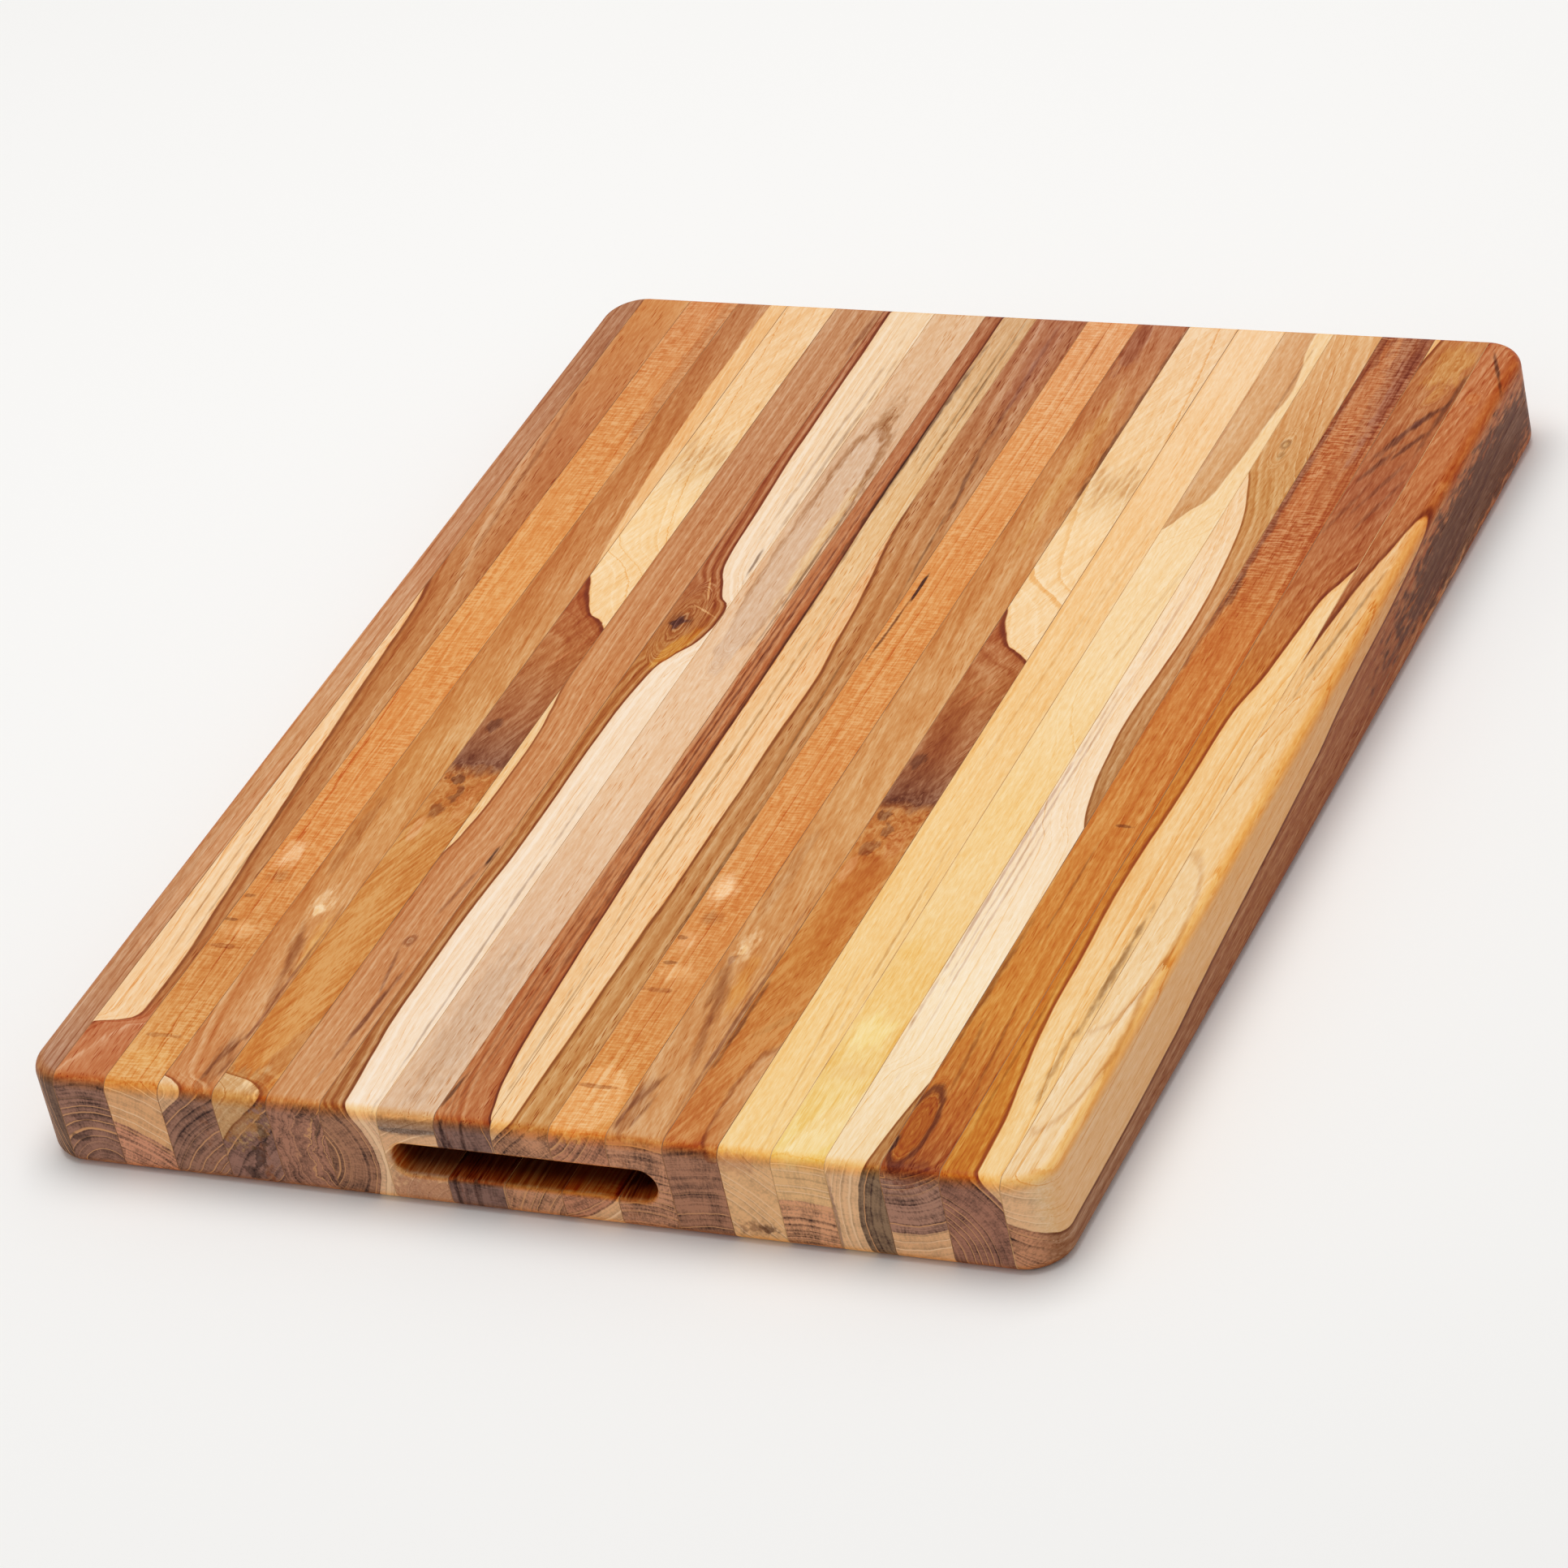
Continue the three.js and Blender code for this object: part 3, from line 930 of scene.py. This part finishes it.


class Wood(Nodes):
    """Solid teak: the same pattern shows on every face that cuts it."""

    def __init__(self, name, stave, seed):
        super().__init__(name)
        self.stave = stave
        self.seed = seed  # each noise adds an offset of its own to it
        self.place = self.place_in_mm()
        self.along = self.along_board(self.place)
        self.grain = self.stirred_grain()
        self.depth, self.round_ring = self.ring_depth()
        self.ring_measure = self.measure_across_rings()
        self.strand = self.grain
        if stave.slant:
            turn = (0, 0, math.radians(stave.slant))
            self.strand = self.add("Mapping", {"Vector": self.grain, "Rotation": turn})
        self.fibre = self.noise(self.strand, FIBRES, seed + 31, 4.0)
        self.fibrous_measure = self.plus_noise(self.ring_measure, self.fibre, 1.4)
        self.dashes = self.noise(self.place, DASHES, seed + 37)
        self.normal = self.add("NewGeometry", {}, "Normal")
        self.on_end = self.step(self.reach(self.normal, Y), 0.5, 0.95)

    def build(self):
        """The finished material."""
        self.divide_heart_and_sap()
        pores = self.open_pores()
        surface = self.mix(self.on_end, self.long_grain(pores), self.end_grain())
        surface = self.with_spots(surface)
        surface = self.with_sides_and_edges(surface)
        surface = self.with_grips(surface)

        # An oiled, sanded surface: satin, a little rougher in the pores and on the end grain.
        roughness = self.math("MULTIPLY_ADD", self.fibre, 0.16, 0.36)
        roughness = self.plus(roughness, pores, 0.25)
        roughness = self.plus(roughness, self.on_end, 0.1)
        height = self.plus(self.times(self.fibre, 0.6), pores, -1.0)
        bump = self.add("Bump", {"Strength": 0.35, "Distance": BUMP_MM * MM, "Height": height})
        return self.finish(Base_Color=surface, Roughness=roughness, Normal=bump, Specular_IOR_Level=0.1)

    def spot_reach(self, place, spot):
        """0 in a spot's middle and 1 at its rim."""
        inputs = {
            "Vector": place,
            "Location": (spot.x, spot.y, spot.z),
            "Rotation": (0, 0, -math.radians(spot.lean)),
            "Scale": (spot.half_x, spot.half_y, spot.half_z or THROUGH_AND_THROUGH),
        }
        inside = self.add("Mapping", inputs, vector_type="TEXTURE")
        return self.vector("LENGTH", inside, output="Value")

    def stirred_grain(self):
        """The place in the wood after the grain's slow drift, its finer wavering and any burl."""
        place = self.place
        drift = self.noise(place, DRIFT, self.seed, 1.0, "Color")
        waver = self.noise(place, WAVER, self.seed + 7, 2.0, "Color")
        for noise, reach in ((drift, DRIFT_MM), (waver, WAVER_MM)):
            centred = self.vector("SUBTRACT", noise, MIDDLE)
            place = self.vector("ADD", place, self.vector("MULTIPLY", centred, (reach, 0, reach)))
        for spot in self.stave.spots:
            if spot.burl:
                swirl = self.noise(place, SWIRL, self.seed + 13, 3.0, "Color")
                inside = self.step(self.spot_reach(place, spot), 1.25, 0.3)
                push = self.scale(self.vector("SUBTRACT", swirl, MIDDLE), inside)
                place = self.vector("MULTIPLY_ADD", push, (spot.burl, spot.burl, spot.burl), place)
        return place

    def ring_depth(self):
        """Millimetres outside the reference ring, negative inside it, and millimetres round it."""
        pith_x, pith_z = self.stave.pith
        edge = self.curve(self.along, self.stave.edge)
        level = self.curve(self.along, self.stave.level)
        from_x = self.minus(self.minus(self.part(self.grain, X), edge), pith_x)
        from_z = self.minus(self.minus(self.part(self.grain, Z), level), TOP_MM + pith_z)
        squares = self.math("MULTIPLY_ADD", from_x, from_x, self.times(from_z, from_z))
        ring_radius = math.hypot(pith_x, pith_z)
        turn = self.math("ARCTAN2", from_x, from_z)
        return self.minus(self.math("SQRT", squares), ring_radius), self.times(turn, ring_radius)

    def measure_across_rings(self):
        """Millimetres across the growth rings. An eye has closed rings of its own."""
        measure = self.depth
        for spot in self.stave.spots:
            if spot.eye:
                reach = self.spot_reach(self.grain, spot)
                inside = self.step(reach, 1.15, 0.75)
                measure = self.add("Mix", {0: inside, 2: measure, 3: self.times(reach, spot.eye)})
        return measure

    def growth_rings(self, measure):
        """How far the wood is through its own ring, from 0 to 1, and a number of its own for that ring."""
        uneven = self.noise_line(self.times(measure, 0.35 / self.stave.ring), self.seed)
        count = self.math("MULTIPLY_ADD", measure, 1 / self.stave.ring, self.times(uneven, 1.8))
        ring = self.math("FLOOR", count)
        vigour = self.add("TexWhiteNoise", {"W": ring}, 0, noise_dimensions="1D")
        return self.math("FRACT", count), vigour

    def divide_heart_and_sap(self):
        """Sets the base colours, where sapwood is, and the bands that follow the rings."""
        stave = self.stave
        bands = self.noise_line(self.times(self.fibrous_measure, 0.55), self.seed + 3, 2.5)
        self.bands = self.scaled(bands, -1.4 * stave.streak, 2.4 * stave.streak)
        self.base = self.ramp(self.along_board(self.grain), stave.heart)
        self.end_tone = pigment(stave.end)
        self.sap = 0.0
        self.rim_line = 0.0
        if not stave.sap:
            return
        side = self.times(self.depth, stave.sap_side)
        self.sap = self.step(side, -0.2, 0.2)
        heart = self.minus(1.0, self.sap)
        shading = self.times(self.step(side, -stave.rim_width, 0.0), 0.35)
        self.rim_line = self.times(self.step(side, -1.1, -0.4), heart)
        self.bands = self.times(self.bands, self.math("MULTIPLY_ADD", self.sap, -0.6, 1.0))
        self.bands = self.plus(self.bands, self.times(shading, heart), stave.rim)
        self.bands = self.plus(self.bands, self.rim_line, 0.4 * stave.rim)
        self.base = self.mix(self.sap, self.base, self.ramp(self.along, stave.sap))
        self.end_tone = self.mix(self.sap, self.end_tone, SAP_END)

    def open_pores(self):
        cell = self.vector("MULTIPLY", self.strand, PORE_CELLS)
        hollow = self.step(self.add("TexVoronoi", {"Vector": cell, "Scale": 1.0}), 0.38, 0.16)
        crowding = self.step(self.noise(self.grain, PORE_CROWDS, self.seed + 41), 0.46, 0.62)
        return self.times(hollow, crowding)

    def long_grain(self, pores):
        """The wood of the faces and the long sides. It also sets how dense the pigment is there."""
        stave = self.stave
        phase, vigour = self.growth_rings(self.fibrous_measure)
        early = self.times(self.step(phase, 0.13, 0.04), vigour)
        late = self.times(self.step(phase, 0.82, 0.96), self.math("POWER", vigour, 2.5))
        cloud = self.noise(self.place, CLOUDS, self.seed + 21)
        density = self.plus_noise(self.scaled(cloud, 0.76, 1.1), self.fibre, 0.7)
        density = self.plus_noise(density, self.dashes, 0.8)
        density = self.plus(self.math("ADD", density, self.bands), late, 0.75 * stave.rings)
        density = self.plus(density, pores, 0.9 * stave.pores)
        density = self.plus(density, early, -0.2 * stave.rings)
        if stave.curl:
            ripple = self.minus(self.noise(self.place, RIPPLES, self.seed + 51, 3.0), 0.5)
            swell = self.step(self.noise(self.place, RIPPLE_SWELL, self.seed + 53, 1.0), 0.3, 0.62)
            strength = self.times(self.curve(self.along, stave.curl), self.scaled(swell, 0.5, 1.5))
            density = self.plus(density, ripple, strength)
        if stave.figure:
            flames = self.noise(self.strand, FLAMES, self.seed + 71, 4.0)
            density = self.plus_noise(density, flames, 2.0 * stave.figure)
        self.density = self.math("MAXIMUM", density, PALEST)
        surface = self.stained(self.base, self.density)
        if stave.sap:
            surface = self.mix(self.times(self.rim_line, 0.4 * stave.rim), surface, RIM)
        return surface

    def end_grain(self):
        """Darker and greyer wood, with rays across the rings and a thin pale line at each ring's start."""
        phase, vigour = self.growth_rings(self.ring_measure)
        surface = self.mix(0.75, self.base, self.end_tone)
        patches = self.noise(self.place, END_PATCHES, self.seed + 81, 3.0)
        ray_place = self.add("CombineXYZ", {"X": self.round_ring, "Y": self.depth})
        rays = self.noise(ray_place, END_RAYS, self.seed + 43, 3.0)
        close_rings = self.noise_line(self.times(self.depth, 0.8), self.seed + 5, 3.0)
        shade = 0.16
        for noise, strength in ((patches, 1.7), (rays, 1.0), (self.dashes, 1.0), (close_rings, 1.1)):
            shade = self.plus_noise(shade, noise, strength)
        shade = self.plus(self.plus(shade, self.bands, 0.25), self.step(phase, 0.55, 1.0), 0.3)
        shade = self.times(shade, self.scaled(self.sap, 1.0, 0.45))
        surface = self.mix(shade, surface, END_SHADE)
        width = RING_LINE_MM / self.stave.ring
        line = self.times(self.step(phase, width, 0.3 * width), self.step(vigour, 0.1, 0.7))
        return self.mix(line, surface, self.mix(self.sap, HEART_RING, SAP_RING))

    def with_spots(self, surface):
        """The surface with its stains and knots."""
        ragged = self.noise(self.place, RAGGED_EDGE, self.seed + 61, 3.0)
        for spot in self.stave.spots:
            if spot.tint:
                reach = self.plus_noise(self.spot_reach(self.grain, spot), ragged, spot.rough)
                cover = self.times(self.step(reach, 1.05, 1.05 - spot.soft), spot.strength)
                surface = self.mix(cover, surface, self.stained(pigment(spot.tint), self.density))
        return surface

    def with_sides_and_edges(self, surface):
        """The surface with richer round-overs, and painted shade that makes the sapwood on the long sides
        browner.
        """
        facing_z = self.reach(self.normal, Z)
        level = self.math("SQRT", self.minus(1.0, self.times(facing_z, facing_z)))
        arris = self.math("POWER", self.times(self.times(facing_z, level), 2.0), 1.5)
        surface = self.stained(surface, self.plus(1.0, arris, 0.15))
        surface = self.mix(arris, surface, ARRIS, "MULTIPLY")
        # painted shade on the sapwood of the long sides
        on_side = self.step(self.reach(self.normal, X), 0.6, 0.98)
        return self.mix(self.times(on_side, self.sap), surface, SAP_SIDE_SHADE, "MULTIPLY")

    def with_grips(self, surface):
        """The surface with the grips' walls coarse and dark: oil-darkened wood at the mouth, then painted
        shade that deepens the further in they are.
        """
        from_middle = self.reach(self.place, Y)
        within_end = self.step(from_middle, LENGTH_MM / 2 - 0.4, LENGTH_MM / 2 - 3)
        from_mid_height = self.math("ABSOLUTE", self.minus(self.reach(self.place, Z), TOP_MM / 2))
        within_faces = self.math("LESS_THAN", from_mid_height, TOP_MM / 4)
        within_sides = self.math("LESS_THAN", self.reach(self.place, X), GRIP_LENGTH / MM / 2 + 1)
        in_grip = self.times(within_end, self.times(within_faces, within_sides))
        # painted shade inside the grip, growing from the mouth to the bottom of the slot
        deep = self.step(from_middle, LENGTH_MM / 2 - 0.5, LENGTH_MM / 2 - 11)
        strands = self.scaled(self.fibre, -1.8, 2.4)
        surface = self.stained(surface, self.plus(1.0, in_grip, strands))
        return self.mix(in_grip, surface, self.mix(deep, GRIP_MOUTH, GRIP_DEEP_SHADE), "MULTIPLY")


def glue(name, dark, pale):
    """Cured glue with sanding dust in it, with darker and paler stretches along the joint."""
    nodes = Nodes(name)
    place = nodes.place_in_mm()
    stretches = nodes.step(nodes.noise(place, (0.05, 0.025, 0.05), 5.0), 0.35, 0.65)
    specks = nodes.noise(place, (1.2, 0.8, 1.2), 9.0, 3.0)
    base = nodes.mix(stretches, colour(dark), colour(pale))
    base = nodes.scale(base, nodes.scaled(specks, 0.6, 1.4))
    return nodes.finish(Base_Color=base, Roughness=0.5)


# ---------------------------------------------------------------- the board

SEED_STEP = 11.3  # keeps the noise of one stave apart from the next one's
PALE_JOINTS = (7, 9, 14, 15, 18)  # these have sapwood on both sides for most of their length


def add_piece(panel, node, suffix, material):
    """One slice of the panel, in place of the CAD node that it covers."""
    low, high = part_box(node)
    piece = slice_of(panel, node + suffix, low[0], high[0])
    piece.data.materials.clear()
    piece.data.materials.append(material)
    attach(piece, "root")
    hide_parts(node)


wooden_panel = routed_panel(0)
for number, stave in enumerate(staves, start=1):
    node = f"stave_{number:02d}"
    teak = Wood(f"teak_{number:02d}", stave, SEED_STEP * number)
    add_piece(wooden_panel, node, "_wood", teak.build())

glue_panel = routed_panel(GLUE_RECESS)
brown_glue = glue("glue_in_heartwood", "7c4e2a", "a8703c")
pale_glue = glue("glue_in_sapwood", "b48450", "dcae74")
for number in range(1, len(staves)):
    material = pale_glue if number in PALE_JOINTS else brown_glue
    add_piece(glue_panel, f"glue_line_{number:02d}", "_film", material)

for panel in (wooden_panel, glue_panel):
    bpy.data.meshes.remove(panel)


# ---------------------------------------------------------------- camera, floor and light

CAMERA_PLACE = Vector((0.9960, -1.7235, 1.3176))
CAMERA_RIGHT = Vector((0.90289, 0.38620, -0.18879))
CAMERA_UP = Vector((-0.07729, 0.57786, 0.81247))
LENS_MM = 152.255
SENSOR_MM = 36.0
FLOOR_HALF = 20
SKY_STRENGTH = 0.5
OVERHEAD_PLACE = (-0.2, 0.3, 2.4)
OVERHEAD_SIZE = 1.8
OVERHEAD_WATTS = 37.6


def add_camera():
    lens = bpy.data.cameras.new("camera")
    lens.lens = LENS_MM
    lens.sensor_width = SENSOR_MM
    camera = bpy.data.objects.new("camera", lens)
    right = CAMERA_RIGHT.normalized()
    back = right.cross(CAMERA_UP).normalized()
    up = back.cross(right)
    turn = Matrix((right, up, back)).transposed().to_4x4()
    camera.matrix_world = Matrix.Translation(CAMERA_PLACE) @ turn
    bpy.context.scene.collection.objects.link(camera)
    bpy.context.scene.camera = camera


def add_floor():
    shape = bmesh.new()
    bmesh.ops.create_grid(shape, x_segments=1, y_segments=1, size=FLOOR_HALF)
    floor = new_object("floor", shape)
    nodes = Nodes("pale_floor")
    floor.data.materials.append(nodes.finish(Base_Color=colour("f4f3f1"), Roughness=0.9))


def add_area_light(name, place, size, watts):
    lamp = bpy.data.lights.new(name, "AREA")
    lamp.size = size
    lamp.energy = watts
    light = bpy.data.objects.new(name, lamp)
    light.location = place
    light.rotation_euler = (Vector((0, 0, 0)) - Vector(place)).to_track_quat("-Z", "Y").to_euler()
    bpy.context.scene.collection.objects.link(light)


def add_sky():
    world = bpy.data.worlds.new("studio")
    world.use_nodes = True
    sky = world.node_tree.nodes["Background"]
    sky.inputs["Color"].default_value = (1.0, 1.0, 1.0, 1.0)
    sky.inputs["Strength"].default_value = SKY_STRENGTH
    bpy.context.scene.world = world


add_camera()
add_floor()
add_sky()
add_area_light("overhead", OVERHEAD_PLACE, OVERHEAD_SIZE, OVERHEAD_WATTS)
bpy.context.scene.view_settings.view_transform = "Standard"
